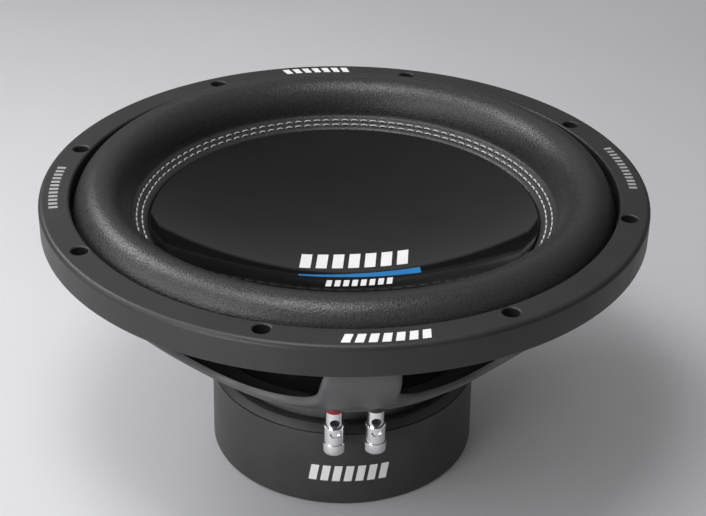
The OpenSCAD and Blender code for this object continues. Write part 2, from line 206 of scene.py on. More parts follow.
def weave(pitch, count):
    """Cloth woven with rings pitch millimetres apart and count threads round the axis."""
    def build(tree):
        parts = split(tree, place(tree))
        angle = maths(tree, "ARCTAN2", parts["Y"], parts["X"])
        spokes = maths(tree, "SINE", maths(tree, "MULTIPLY", angle, float(count)))
        return maths(tree, "MULTIPLY", rings(pitch)(tree), spokes)
    return build


def grey(v):
    """Grey with a touch of blue."""
    return (v, v, v * BLUE_SHARE)


# ---------------------------------------------------------------- materials
# name, darkest and lightest colour, (lowest, highest) roughness, grain size and grain depth
M_RING = surface("satin_black_plastic", grey(0.016), grey(0.021), (0.40, 0.50), 0.35, 0.03)
M_BASKET = surface("satin_black_steel", grey(0.074), grey(0.092), (0.38, 0.48), 0.5, 0.04)
M_ROLL = surface("black_rubber", grey(0.019), grey(0.027), (0.24, 0.42), 1.0, 0.24, mottle=420.0)
M_BOOT = surface("boot_rubber", grey(0.029), grey(0.039), (0.40, 0.50), 0.6, 0.03)
M_DISH = surface("gloss_black", grey(0.004), grey(0.006), (0.03, 0.05), 2.0, 0.002, specular=0.30)
M_CONE = surface("cone_pulp", grey(0.012), grey(0.022), (0.55, 0.75), 0.7, 0.12,
                 wave=rings(6.0), ripple=0.15)
M_THREAD = surface("thread", (0.50, 0.50, 0.51), (0.64, 0.64, 0.65), (0.6, 0.8), 0.25, 0.06)
M_SPIDER = surface("black_cloth", grey(0.008), grey(0.014), (0.6, 0.8), 0.4, 0.05,
                   wave=weave(0.9, 380), ripple=0.18)
M_STEEL = surface("black_steel", grey(0.020), grey(0.030), (0.34, 0.48), 0.5, 0.03,
                  wave=rings(0.8), ripple=0.01)
M_FERRITE = surface("ferrite", grey(0.035), grey(0.055), (0.5, 0.7), 0.6, 0.05)
M_CHROME = surface("chrome", (0.92, 0.92, 0.93), (0.96, 0.96, 0.97), (0.07, 0.14), 0.8, 0.004,
                   mottle=200.0, metal=1.0)
M_PLATED = surface("plated_steel", (0.50, 0.49, 0.46), (0.62, 0.61, 0.58), (0.22, 0.36), 0.5, 0.02, metal=1.0)
M_SPRING = surface("spring_steel", (0.40, 0.40, 0.41), (0.52, 0.52, 0.53), (0.2, 0.32), 0.3, 0.01, metal=1.0)
M_RED = surface("red_nylon", (0.26, 0.010, 0.012), (0.34, 0.015, 0.016), (0.34, 0.46), 0.5, 0.02)
M_BLACK = surface("black_nylon", grey(0.012), grey(0.018), (0.34, 0.46), 0.5, 0.02)
M_PHENOLIC = surface("phenolic", (0.022, 0.014, 0.010), (0.034, 0.021, 0.014), (0.4, 0.55), 0.8, 0.02)
M_COPPER = surface("copper", (0.55, 0.24, 0.11), (0.68, 0.32, 0.15), (0.22, 0.34), 0.5, 0.01, metal=1.0,
                   wave=rings(0.35, "z"), ripple=0.06)
M_FORMER = surface("former_sheet", (0.16, 0.085, 0.035), (0.24, 0.13, 0.06), (0.35, 0.5), 0.7, 0.02)
M_TINSEL = surface("tinsel", (0.45, 0.20, 0.10), (0.62, 0.34, 0.18), (0.3, 0.45), 0.3, 0.08, metal=1.0)
M_WHITE = surface("printed_white", (0.80, 0.80, 0.80), (0.88, 0.88, 0.88), (0.35, 0.45), 0.4, 0.01)
M_PALE = surface("printed_pale", (0.30, 0.30, 0.31), (0.38, 0.38, 0.39), (0.4, 0.5), 0.4, 0.01)
M_BLUE = surface("printed_blue", (0.006, 0.16, 0.42), (0.009, 0.20, 0.52), (0.3, 0.4), 0.4, 0.01)

# ---------------------------------------------------------------- mesh tools, in millimetres
SHARP = 38.0            # edges that turn by more degrees than this stay sharp
SOFT = 60.0             # the same for rubber, cloth, thread and wire
WELD = 1e-6             # points closer than this, in metres, become one
ON_AXIS = 1e-6          # a radius below this counts as on the axis
NEARLY_STRAIGHT = 1.55  # a corner with a larger half angle, in radians, is left as it is


def smooth(obj, sharp=SHARP):
    """Shades obj smooth, apart from the edges that turn by more than sharp."""
    obj.data.polygons.foreach_set("use_smooth", [True] * len(obj.data.polygons))
    obj.data.set_sharp_from_angle(angle=math.radians(sharp))
    obj.data.update()


def make(name, verts, faces, material, sharp=SHARP):
    """Mesh object from points in millimetres, smooth up to the angle sharp."""
    mesh = bpy.data.meshes.new(name)
    mesh.from_pydata((np.asarray(verts, float) * MM).tolist(), [], faces)
    bm = bmesh.new()
    bm.from_mesh(mesh)
    bmesh.ops.remove_doubles(bm, verts=bm.verts, dist=WELD)
    bmesh.ops.recalc_face_normals(bm, faces=bm.faces)
    bm.to_mesh(mesh)
    bm.free()
    obj = bpy.data.objects.new(name, mesh)
    scene.collection.objects.link(obj)
    if material is not None:
        mesh.materials.append(material)
    smooth(obj, sharp)
    return obj


def many(name, shapes, material, sharp=SHARP):
    """One object from many (vertices, faces) shapes."""
    verts, faces = [], []
    for v, f in shapes:
        start = len(verts)
        verts += list(v)
        faces += [[i + start for i in face] for face in f]
    return make(name, verts, faces, material, sharp)


def weighted(obj):
    """Keeps flat faces flat in shading where they meet small roundings."""
    made = obj.modifiers.new("even_shading", "WEIGHTED_NORMAL")
    made.keep_sharp = True
    made.weight = 60


def grid(rows, count, closed=True):
    """Faces between rows of count points each. closed joins the end of each row to its start."""
    spans = count if closed else count - 1
    faces = []
    for i in range(rows - 1):
        for k in range(spans):
            after = (k + 1) % count
            faces.append([i * count + k, i * count + after, (i + 1) * count + after, (i + 1) * count + k])
    return faces


def rounded(points, step=15.0):
    """Outline with its corners rounded: each point is (across, up, corner radius)."""
    out = []
    n = len(points)
    for i, (x, y, fillet) in enumerate(points):
        p = np.array((x, y), float)
        if fillet <= 0:
            out.append(p)
            continue
        a = np.array(points[i - 1][:2], float) - p
        b = np.array(points[(i + 1) % n][:2], float) - p
        la, lb = np.linalg.norm(a), np.linalg.norm(b)
        a, b = a / la, b / lb
        half = math.acos(max(-1.0, min(1.0, float(a @ b)))) / 2
        if half > NEARLY_STRAIGHT:
            out.append(p)
            continue
        back = min(fillet / math.tan(half), 0.49 * la, 0.49 * lb)
        r = back * math.tan(half)
        centre = p + (a + b) / np.linalg.norm(a + b) * (r / math.sin(half))
        t0, t1 = p + a * back - centre, p + b * back - centre
        a0, a1 = math.atan2(t0[1], t0[0]), math.atan2(t1[1], t1[0])
        turn = (a1 - a0 + math.pi) % (2 * math.pi) - math.pi
        steps = max(2, int(abs(math.degrees(turn)) / step) + 1)
        angles = [a0 + turn * k / steps for k in range(steps + 1)]
        out += [centre + r * np.array((math.cos(angle), math.sin(angle))) for angle in angles]
    return out


def revolve(name, outline, material, segments=256, centre=(0.0, 0.0), lift=None, sharp=SHARP):
    """Turns a closed (radius, height) outline round a vertical axis. lift(r, z, angle) may raise a point."""
    angles = np.arange(segments) * 2 * math.pi / segments
    cos, sin = np.cos(angles), np.sin(angles)
    n = len(outline)
    verts = np.zeros((n, segments, 3))
    for i, (r, z) in enumerate(outline):
        verts[i, :, 0] = centre[0] + r * cos
        verts[i, :, 1] = centre[1] + r * sin
        verts[i, :, 2] = z + (lift(r, z, angles) if lift else 0.0)
    faces = []
    for i in range(n):
        j = (i + 1) % n
        from_axis, to_axis = outline[i][0] < ON_AXIS, outline[j][0] < ON_AXIS
        if from_axis and to_axis:
            continue
        for k in range(segments):
            m = (k + 1) % segments
            quad = [i * segments + k, j * segments + k, j * segments + m, i * segments + m]
            if from_axis:
                quad = [i * segments, j * segments + k, j * segments + m]
            elif to_axis:
                quad = [i * segments + k, j * segments, i * segments + m]
            faces.append(quad)
    return make(name, verts.reshape(-1, 3), faces, material, sharp)


def tube(points, radius, sides, up, squash=1.0):
    """Vertices and faces of a closed round bar along the points. radius is one number or one for each point,
    up is a direction that the bar never follows, and squash flattens the bar along up."""
    pts = np.asarray(points, float)
    n = len(pts)
    heading = np.gradient(pts, axis=0)
    heading /= np.linalg.norm(heading, axis=1)[:, None]
    side = np.cross(np.asarray(up, float), heading)
    side /= np.linalg.norm(side, axis=1)[:, None]
    top = np.cross(heading, side)
    radii = np.broadcast_to(radius, n)
    verts = []
    for i in range(n):
        for k in range(sides):
            a = 2 * math.pi * k / sides
            verts.append(pts[i] + radii[i] * (math.cos(a) * side[i] + squash * math.sin(a) * top[i]))
    ends = [list(range(sides))[::-1], [(n - 1) * sides + k for k in range(sides)]]
    return verts, grid(n, sides) + ends


def cut(obj, *cutters):
    """Takes the cutters out of obj for good, and deletes them."""
    bpy.context.view_layer.update()
    for cutter in cutters:
        made = obj.modifiers.new("cut", "BOOLEAN")
        made.operation = "DIFFERENCE"
        made.solver = "EXACT"
        made.object = cutter
    graph = bpy.context.evaluated_depsgraph_get()
    mesh = bpy.data.meshes.new_from_object(obj.evaluated_get(graph))
    obj.modifiers.clear()
    obj.data = mesh
    for cutter in cutters:
        bpy.data.objects.remove(cutter)
    smooth(obj)


def radial_weights(obj):
    """Reads the coordinates of obj's points into an array, and does nothing more with them."""
    co = np.zeros(len(obj.data.vertices) * 3)
    obj.data.vertices.foreach_get("co", co)


# ---------------------------------------------------------------- trim ring
SEAT_RI, SKIRT_RI = 146.5, 157      # where the ring sits on the flange, and the inside of its skirt
RECESS_R, RECESS_LOW, RECESS_RIM_R = 4.1, 135, 5.3
OVERSHOOT = 3                       # how far a cutter stands out of what it cuts


def hole_centres():
    """Centres of the screw holes, as (x, y)."""
    angles = [math.radians(FIRST_HOLE + HOLE_PITCH * k) for k in range(HOLE_COUNT)]
    return [(HOLE_CIRCLE_R * math.cos(a), HOLE_CIRCLE_R * math.sin(a)) for a in angles]


ring = revolve("ring_moulding", rounded([
    (RING_R, RING_LOW, 0.8), (RING_R, RING_TOP, 2.6), (RING_RI, RING_TOP, 1.4), (RING_RI, ROLL_FOOT, 0.2),
    (SEAT_RI, ROLL_FOOT, 0), (SEAT_RI, FLANGE_TOP, 0), (SKIRT_RI, FLANGE_TOP, 0), (SKIRT_RI, RING_LOW, 0.3)],
    11.0), M_RING, 360)
recess_outline = [
    (0, RECESS_LOW), (RECESS_R, RECESS_LOW), (RECESS_R, RING_TOP - 0.9), (4.25, RING_TOP - 0.55),
    (4.6, RING_TOP - 0.2), (RECESS_RIM_R, RING_TOP + 0.1), (RECESS_RIM_R, RING_TOP + OVERSHOOT),
    (0, RING_TOP + OVERSHOOT)]
cut(ring, *[revolve(f"recess_{i}", recess_outline, None, 40, spot) for i, spot in enumerate(hole_centres())])
weighted(ring)
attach(ring, "frame")
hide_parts("trim_ring")

# ---------------------------------------------------------------- basket, pressed from 2 mm sheet
FLANGE_EDGE_R, FLANGE_Z = 155.5, 141.8                      # middle of the sheet, here and below
WALL_R, WALL_BEND = 138.5, 123.1
WALL_FOOT_R, WALL_FOOT_Z, WALL_BOW, BOW_STEPS = 86.6, 72.0, 5.66, 12
SHELF_R, SHELF_Z, NECK_R, BASE_Z, BASE_RI = 86.5, 71, 63, 45.5, 47
SHEET_STEP = 2                                              # spacing of the mesh rows down the sheet
FLANGE_HOLE_R, FLANGE_HOLE_LOW, FLANGE_HOLE_HIGH = 2.9, 138, 146
WALL_LOW, WALL_HIGH = 75.0, 138.4                           # the windows lie between these heights
SLOPE_HIGH, SLOPE_ANGLE = 123, 45                           # below this height the wall slopes
LIP, LIP_WIDTH = 3.0, 1.15                                  # the wall curls in towards the windows' rims
WINDOW_FOOT, WINDOW_FOOT_HALF, WINDOW_CORNER = 82, 31.6, 34
WINDOW_BEND, WINDOW_HEAD, WINDOW_HALF, WINDOW_MIDDLE = 123.5, 136.8, 52.6, 112.0
ACROSS, UPWARD = 48, 40                                     # mesh steps across and up a sixth of the wall


def centre_line():
    """Middle of the basket's sheet, from the flange's edge down to the foot, with its bends."""
    points = [(FLANGE_EDGE_R, FLANGE_Z, 0), (WALL_R, FLANGE_Z, 2.4), (WALL_R, WALL_BEND, 5)]
    for k in range(1, BOW_STEPS):
        t = k / BOW_STEPS
        bow = WALL_BOW * t * (1 - t)
        points.append((WALL_R + (WALL_FOOT_R - WALL_R) * t + bow,
                       WALL_BEND + (WALL_FOOT_Z - WALL_BEND) * t - bow, 0))
    points += [(WALL_FOOT_R, WALL_FOOT_Z, 0.7), (SHELF_R, SHELF_Z, 0.7), (NECK_R, SHELF_Z, 3),
               (NECK_R, BASE_Z, 2.6), (BASE_RI, BASE_Z, 0)]
    corners = np.array(rounded(points, 8.0))
    dense = [corners[0]]
    for p, q in zip(corners[:-1], corners[1:]):
        pieces = max(1, int(np.linalg.norm(q - p) / SHEET_STEP))
        dense += [p + (q - p) * k / pieces for k in range(1, pieces + 1)]
    return np.array(dense)


sheet = centre_line()
heading = np.gradient(sheet, axis=0)
heading /= np.linalg.norm(heading, axis=1)[:, None]
outward = np.stack((-heading[:, 1], heading[:, 0]), 1)      # out of the basket, down under flange and shelf
wall = (sheet[:, 1] > WALL_LOW - 4) & (sheet[:, 1] < WALL_HIGH + 1.5) & (sheet[:, 0] > 84)
wall_line, wall_out = sheet[wall][::-1], outward[wall][::-1]


def wall_at(z):
    """Radius of the wall's middle at the heights z, and the directions out of the wall there."""
    r = np.interp(z, wall_line[:, 1], wall_line[:, 0])
    n = np.stack([np.interp(z, wall_line[:, 1], wall_out[:, i]) for i in (0, 1)], -1)
    return r, n / np.linalg.norm(n, axis=-1)[..., None]


def sixth_edge():
    """Edge of one sixth of the wall, as (angle, height), anticlockwise from its low corner on the -Y side."""
    half = math.pi / WINDOW_COUNT
    across = [-half + 2 * half * k / ACROSS for k in range(ACROSS + 1)]
    upward = [WALL_LOW + (WALL_HIGH - WALL_LOW) * k / UPWARD for k in range(UPWARD + 1)]
    edge = [(a, WALL_LOW) for a in across] + [(half, z) for z in upward[1:]]
    edge += [(a, WALL_HIGH) for a in across[::-1][1:]] + [(-half, z) for z in upward[::-1][1:-1]]
    return np.array(edge)


def window_rim(edge):
    """Points (across, up) of a window's outline, one in the direction of each point of the edge."""
    shape = np.array(rounded([
        (-WINDOW_FOOT_HALF, WINDOW_FOOT, WINDOW_CORNER), (WINDOW_FOOT_HALF, WINDOW_FOOT, WINDOW_CORNER),
        (WINDOW_HALF, WINDOW_BEND, 8), (WINDOW_HALF, WINDOW_HEAD, 4),
        (-WINDOW_HALF, WINDOW_HEAD, 4), (-WINDOW_HALF, WINDOW_BEND, 8)], 5.0))
    wanted = np.arctan2(edge[:, 1] - WINDOW_MIDDLE, wall_at(edge[:, 1])[0] * np.sin(edge[:, 0]))
    around = np.arctan2(shape[:, 1] - WINDOW_MIDDLE, shape[:, 0])
    order = np.argsort(around)
    turned = np.concatenate([around[order] + 2 * math.pi * k for k in (-1, 0, 1)])
    return np.stack([np.interp(wanted, turned, np.tile(shape[order, i], 3)) for i in (0, 1)], 1)


def wall_rows():
    """Rows of points from the edge of a sixth over the outside to the window's rim, and back over the inside.
    A row is (kind, value, side): mix is a share of the way from the lip to the edge, off a distance from the
    rim, and lip an angle round the rim itself."""
    rows = []
    for side in (1, -1):
        face = [("mix", share, side) for share in (1.0, 0.72, 0.46, 0.24, 0.1)]
        face += [("off", gap, side) for gap in (2.7, 2.3, 1.9, 1.6, 1.3)]
        face += [("lip", angle, side) for angle in (90, 70, 50, 30, 10)]
        rows += face if side == 1 else face[::-1]
    return rows


def wall_row(kind, value, side, edge, rim, away):
    """Points of one row of the wall. away holds the steps along the wall from the rim to the edge."""
    gap, rise = LIP, side
    if kind == "lip":
        a = math.radians(value)
        gap, rise = LIP_WIDTH * (1 - math.cos(a)), side * math.sin(a)
    elif kind == "off":
        gap = value
    near = rim + away * gap
    spots = np.stack((np.arcsin(near[:, 0] / wall_at(near[:, 1])[0]), near[:, 1]), 1)
    if kind == "mix":
        spots = spots + (edge - spots) * value
    else:
        rise = rise - LIP + math.sqrt(LIP ** 2 - max(0.0, LIP - gap) ** 2)
    r, n = wall_at(spots[:, 1])
    r, z = r + n[:, 0] * rise, spots[:, 1] + n[:, 1] * rise
    return np.stack((r * np.cos(spots[:, 0]), r * np.sin(spots[:, 0]), z), 1)


def strip(before, now):
    """Faces between two rows of point numbers."""
    return [[before[k], before[k + 1], now[k + 1], now[k]] for k in range(len(now) - 1)]


def sixth():
    """One sixth of the basket, its window facing +X: vertices and faces."""
    edge = sixth_edge()
    rim = window_rim(edge)
    along = np.roll(rim, -1, 0) - np.roll(rim, 1, 0)
    away = np.stack((along[:, 1], -along[:, 0]), 1)
    away /= np.linalg.norm(away, axis=1)[:, None]
    away[:, 1] *= np.where(rim[:, 1] < SLOPE_HIGH, math.cos(math.radians(SLOPE_ANGLE)), 1.0)
    rows = wall_rows()
    count = len(edge)
    verts = list(np.concatenate([wall_row(*row, edge, rim, away) for row in rows]))
    faces = grid(len(rows), count)
    # the rows below the windows (shelf, neck and foot) and above them (flange)
    first = np.argmax(sheet[:, 1] < WALL_LOW)
    last = len(sheet) - np.argmax(sheet[::-1, 1] > WALL_HIGH) - 1
    low_ids = range(0, ACROSS + 1)
    # KNOWN FAULT: the high corner is point ACROSS + UPWARD, and this row starts and ends one point after it,
    # so each spoke's top and the flange above it have a slit one mesh step wide.
    high_ids = range(ACROSS + UPWARD + 1, 2 * ACROSS + UPWARD + 2)
    for index, ids in ((range(first, len(sheet)), low_ids), (range(last, -1, -1), high_ids)):
        angles = edge[list(ids), 0]
        ends = []
        for side, layer in ((1, 0), (-1, len(rows) - 1)):
            before = [layer * count + k for k in ids]
            for i in index:
                r, z = sheet[i] + outward[i] * side
                now = list(range(len(verts), len(verts) + len(angles)))
                verts += [np.array((r * math.cos(a), r * math.sin(a), z)) for a in angles]
                faces += strip(before, now)
                before = now
            ends.append(before)
        faces += strip(*ends)
    return np.array(verts), faces


verts, faces = sixth()
shapes = []
for k in range(WINDOW_COUNT):
    a = math.radians(360 / WINDOW_COUNT * k + SPOKE_TURN)
    c, s = math.cos(a), math.sin(a)
    shapes.append((verts @ np.array([[c, s, 0], [-s, c, 0], [0, 0, 1]]), faces))
basket = many("basket_pressing", shapes, M_BASKET, 50.0)
hole_outline = [(0, FLANGE_HOLE_LOW), (FLANGE_HOLE_R, FLANGE_HOLE_LOW),
                (FLANGE_HOLE_R, FLANGE_HOLE_HIGH), (0, FLANGE_HOLE_HIGH)]
cut(basket, *[revolve(f"flange_hole_{i}", hole_outline, None, 32, spot)
              for i, spot in enumerate(hole_centres())])
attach(basket, "frame")
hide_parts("basket")

# ---------------------------------------------------------------- surround
BAND_THICK, ROLL_THICK = 1.3, 2.2
BAND_END_R, CLAMP_R = 104.1, 146                # inner end of the band, outer end under the ring


def half_ellipse(half_width, height, start, end, steps, z=ROLL_FOOT):
    """Points of the roll's section between two angles, in degrees."""
    angles = [math.radians(start + (end - start) * k / steps) for k in range(steps + 1)]
    return [(ROLL_R + half_width * math.cos(a), z + height * math.sin(a)) for a in angles]


def pucker(r, z, angles):
    """The band dips along both rows of stitches, deepest where the thread goes through it."""
    out = 0.0 * angles
    if z > band_z(r) - 0.7:
        for row, count in ((STITCH_OUTER, STITCHES_OUTER), (STITCH_INNER, STITCHES_INNER)):
            near = math.exp(-((r - row) / 0.75) ** 2)
            out = out - near * (0.16 + 0.2 * (0.5 + 0.5 * np.cos(count * angles)))
    return out


foot = ROLL_R - ROLL_HALF
skin = [(CLAMP_R, FLANGE_TOP), (CLAMP_R, ROLL_FOOT - 0.3), (145.6, ROLL_FOOT), (143.6, ROLL_FOOT)]
skin += half_ellipse(ROLL_HALF, ROLL_H, 0, 177, 48)
skin += [(foot - 0.35, band_z(foot) - 0.15), (foot - 0.9, band_z(foot - 0.9) + 0.05)]
skin += [(r, band_z(r)) for r in np.arange(111.8, 105.3, -0.3)]
skin += [(104.6, band_z(104.6) - 0.1), (BAND_END_R, band_z(BAND_END_R) - 0.5)]
skin += [(BAND_END_R, band_z(BAND_END_R) - BAND_THICK), (foot, band_z(foot) - BAND_THICK)]
skin += half_ellipse(ROLL_HALF - ROLL_THICK, ROLL_H - ROLL_THICK, 180, 0, 30, ROLL_FOOT - 0.6)
skin += [(141.1, FLANGE_TOP)]
# 744 is six points for each outer stitch
roll = revolve("rubber_surround", skin, M_ROLL, 744, lift=pucker, sharp=SOFT)
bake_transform(roll)
radial_weights(roll)
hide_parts("surround")

# ---------------------------------------------------------------- stitches
STITCH_LENGTH, THREAD_R, THREAD_SQUASH = 3.9, 0.44, 0.8
STITCH_LIFT, STITCH_DIP, STITCH_WOBBLE = 0.30, 0.62, 0.05


def stitches(name, row, count, node_name):
    """Separate stitches of thread that dip into the band at both ends."""
    shapes = []
    pitch = 2 * math.pi / count
    length = STITCH_LENGTH / row
    for i in range(count):
        middle = (i + 0.5) * pitch
        r = row + STITCH_WOBBLE * math.sin(7.3 * i + 2.1 * row)
        path, radii = [], []
        for k in range(9):
            t = k / 4 - 1
            a = middle + t * length / 2
            z = band_z(r) + STITCH_LIFT - STITCH_DIP * abs(t) ** 3.2
            path.append((r * math.cos(a), r * math.sin(a), z))
            radii.append(THREAD_R * (1 - 0.4 * abs(t) ** 4))
        shapes.append(tube(path, np.array(radii), 8, (0, 0, 1), THREAD_SQUASH))
    obj = many(name, shapes, M_THREAD, SOFT)
    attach(obj, "cone_assembly")
    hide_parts(node_name)


stitches("thread_outer", STITCH_OUTER, STITCHES_OUTER, "stitch_outer")
stitches("thread_inner", STITCH_INNER, STITCHES_INNER, "stitch_inner")

# ---------------------------------------------------------------- dish
DISH_LOW_R, DISH_THICK, DISH_EDGE = 100.8, 1.5, 0.75
dish_top = [(DISH_R * k / 40, dish_z(DISH_R * k / 40)) for k in range(40)]
edge_z = dish_z(DISH_R)
edge_angles = [math.radians(a) for a in (75, 50, 25, 0, -25)]
dish_edge = [(DISH_R - DISH_EDGE + DISH_EDGE * math.cos(a), edge_z - DISH_EDGE + DISH_EDGE * math.sin(a))
             for a in edge_angles]
dish_edge += [(DISH_R, band_z(DISH_R) - 1.4), (101, band_z(101) - 1.4)]
dish_low = [(DISH_LOW_R * k / 30, dish_z(DISH_LOW_R * k / 30) - DISH_THICK) for k in range(30, -1, -1)]
dish = revolve("dish_moulding", dish_top + dish_edge + dish_low, M_DISH, 360)
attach(dish, "cone_assembly")
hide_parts("dust_cap")

# ---------------------------------------------------------------- cone
CONE_R, CONE_NECK_R, COLLAR_R, COLLAR_LOW = 112.8, 32.05, 33.9, 92.0
CONE_LOW_R, CONE_LOW_NECK_R, CONE_THICK, RIB = 112.3, 36.0, 1.7, 0.16


def cone_z(r):
    """Height of the cone's top side at a distance from the axis."""
    return band_z(r) - 1.5


def cone_under(k):
    """Point k of 80 along the cone's ribbed underside, from the neck outwards."""
    r = CONE_LOW_NECK_R + (CONE_LOW_R - CONE_LOW_NECK_R) * k / 80
    return r, cone_z(r) - CONE_THICK - RIB * max(0.0, math.sin(k * 0.7)) ** 2


cone_radii = [CONE_R + (CONE_NECK_R - CONE_R) * k / 40 for k in range(41)]
collar = [(CONE_NECK_R, COLLAR_LOW), (33.5, COLLAR_LOW), (COLLAR_R, 92.4), (COLLAR_R, 95.0)]
cone = revolve("cone_body", [(r, cone_z(r)) for r in cone_radii] + collar
               + [cone_under(k) for k in range(81)] + [(CONE_R, cone_z(CONE_R) - 1.2)], M_CONE, 256)
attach(cone, "cone_assembly")
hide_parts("cone")

# ---------------------------------------------------------------- spider
WAVES, WAVE_START, WAVE_SPAN, WAVE_HEIGHT = 5, 36, 30, 2
SPIDER_Z, SPIDER_THICK = 75.0, 0.9


def spider_top(k):
    """Point k of 100 along the top of the corrugations, from the inside outwards."""
    r = WAVE_START + WAVE_SPAN * k / 100
    wave = math.sin(2 * math.pi * WAVES * (r - WAVE_START) / WAVE_SPAN)
    return r, SPIDER_Z + WAVE_HEIGHT * wave + SPIDER_THICK / 2


wave_top = [spider_top(k) for k in range(101)]
wave_low = [(r, z - SPIDER_THICK) for r, z in wave_top[::-1]]
inner_cuff = [(32.3, 78.5), (33.1, 78.5), (33.2, 75.9), (34.2, 75.5)]
outer_cuff = [(67.4, 73.2), (68.6, 72.8), (75, 72.8), (75, 72.0), (67.6, 72.0)]
spider = revolve("woven_spider", inner_cuff + wave_top + outer_cuff + wave_low + [(33.6, 74.4), (32.3, 74.6)],
                 M_SPIDER, 240, sharp=SOFT)
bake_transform(spider)
radial_weights(spider)
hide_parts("spider")

# ---------------------------------------------------------------- magnet boot
BOOT_R, BOOT_TAPER, BOOT_EDGE_Z = 73.6, 0.6, 46.1
BOOT_MOUTH_R, BOOT_TOP, BOOT_INSIDE_R, BOOT_INSIDE_TOP = 65.6, 50.1, 70.05, 44.5
boot = revolve("rubber_boot", rounded([
    (62, 0, 0.3), (BOOT_R, 0, 2.0), (73.35, 20, 0), (73.0, 45.75, 0.35), (72.1, 45.95, 0.1),
    (72.1, 46.45, 0.1), (72.7, 46.6, 0.4), (69.2, BOOT_TOP, 1.8), (BOOT_MOUTH_R, BOOT_TOP, 0.7),
    (BOOT_MOUTH_R, BOOT_INSIDE_TOP, 0), (BOOT_INSIDE_R, BOOT_INSIDE_TOP, 0), (BOOT_INSIDE_R, 1.0, 0),
    (62, 1.0, 0.3)], 11.0), M_BOOT, 300)
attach(boot, "frame")
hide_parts("magnet_boot")

# ---------------------------------------------------------------- push terminals
WIRE_HOLE_R, DRILL_LENGTH = 2.5, 30
POST_R, POST_LOW, POST_TOP, STUD_R, STUD_TOP = 4.5, 53.2, 69.4, 1.5, 78.2
SLEEVE_R, SLEEVE_LOW, SLEEVE_TOP, CAP_R, CAP_LOW = 5.4, 47.5, 60.9, 6.0, 43.5
SLEEVE_BORE_R, SPRING_BORE_R = 4.55, 4.85
BUSH_R, BUSH_BORE_R, BUSH_LOW, BUSH_TOP = 4.95, 1.55, 69.3, 72.0
SPRING_LOW, SPRING_HIGH, SPRING_TURNS, SPRING_R, SPRING_WIRE_R = 45.4, 52.9, 4.5, 3.5, 0.25
STRAND_R, STRAND_TWIST_R, STRANDS = 0.46, 0.33, 3
# the leads' route as (distance inwards from the post's axis, height), with slack for the cone's travel
LEAD_ROUTE = [(6.6, 77.4), (8.4, 77.6), (11.4, 78.8), (13.8, 81.2), (14.8, 84.6), (13.9, 87.8), (11.8, 90.6),
              (9.9, 93.4), (9.3, 96.6), (10.5, 99.8), (13.2, 101.9), (16.6, 102.6), (20.2, 102.1),
              (23.8, 101.4), (27, 102.2), (29.2, 104.6), (30, 107.8)]


def drill(x, y, z, name):
    """Cutter for a wire hole along Y with its centre at (x, y, z)."""
    reach = DRILL_LENGTH / 2
    shape = tube([(x, y - reach, z), (x, y, z), (x, y + reach, z)], WIRE_HOLE_R, 40, (0, 0, 1))
    return make(name, shape[0], shape[1], None)


def binding_post(x, y, tag):
    post = revolve(f"binding_post_{tag}", rounded([
        (0, POST_LOW, 0), (4.8, POST_LOW, 0.3), (4.8, 54.2, 0.2), (POST_R, 54.2, 0), (POST_R, POST_TOP, 0.2),
        (STUD_R, POST_TOP, 0.2), (STUD_R, STUD_TOP, 0.4), (0, STUD_TOP, 0)]), M_CHROME, 64, (x, y))
    cut(post, drill(x, y, HOLE_Z, "drill_post"))
    weighted(post)
    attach(post, "frame")
    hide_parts(f"post_{tag}")


def sleeve_and_cap(x, y, tag, body):
    sleeve = revolve(f"sliding_sleeve_{tag}", rounded([
        (SLEEVE_R, SLEEVE_LOW, 0), (SLEEVE_R, 59.9, 0.9), (5.0, SLEEVE_TOP, 0.25),
        (SLEEVE_BORE_R, SLEEVE_TOP, 0.1), (SLEEVE_BORE_R, 54.3, 0), (SPRING_BORE_R, 54.3, 0),
        (SPRING_BORE_R, SLEEVE_LOW, 0)]), M_CHROME, 72, (x, y))
    cut(sleeve, drill(x, y, HOLE_Z - PUSH_TRAVEL, "drill_sleeve"))
    weighted(sleeve)
    cap = revolve(f"thumb_cap_{tag}", rounded([
        (0, CAP_LOW, 0), (CAP_R, CAP_LOW, 2.0), (CAP_R, 50.3, 0.4), (5.42, 50.3, 0.1), (5.42, SLEEVE_LOW, 0),
        (SPRING_BORE_R, SLEEVE_LOW, 0), (SPRING_BORE_R, 45.1, 0), (0, 45.1, 0)]), M_CHROME, 72, (x, y))
    for obj, target in ((sleeve, f"sleeve_{tag}"), (cap, f"push_cap_{tag}")):
        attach(obj, body)
        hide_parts(target)


def insulating_bush(x, y, tag, colour):
    nylon, slot = (M_RED, "red_nylon") if colour == "red" else (M_BLACK, "black_nylon")
    bush = revolve(f"insulating_bush_{tag}", rounded([
        (BUSH_BORE_R, BUSH_LOW, 0), (4.75, BUSH_LOW, 0.3), (BUSH_R, 70.0, 0.2), (BUSH_R, BUSH_TOP, 0.2),
        (BUSH_BORE_R, BUSH_TOP, 0)]), nylon, 64, (x, y))
    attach(bush, "frame")
    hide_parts(f"bush_{tag}")


def coil_spring(x, y, tag):
    coil = []
    for k in range(181):
        a = 2 * math.pi * SPRING_TURNS * k / 180
        z = SPRING_LOW + (SPRING_HIGH - SPRING_LOW) * k / 180
        coil.append((x + SPRING_R * math.cos(a), y + SPRING_R * math.sin(a), z))
    wire = tube(coil, SPRING_WIRE_R, 8, (0, 0, 1))
    spring = make(f"coil_spring_{tag}", wire[0], wire[1], M_SPRING, SOFT)
    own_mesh(spring)
    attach(spring, "frame")
    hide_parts(f"spring_{tag}")


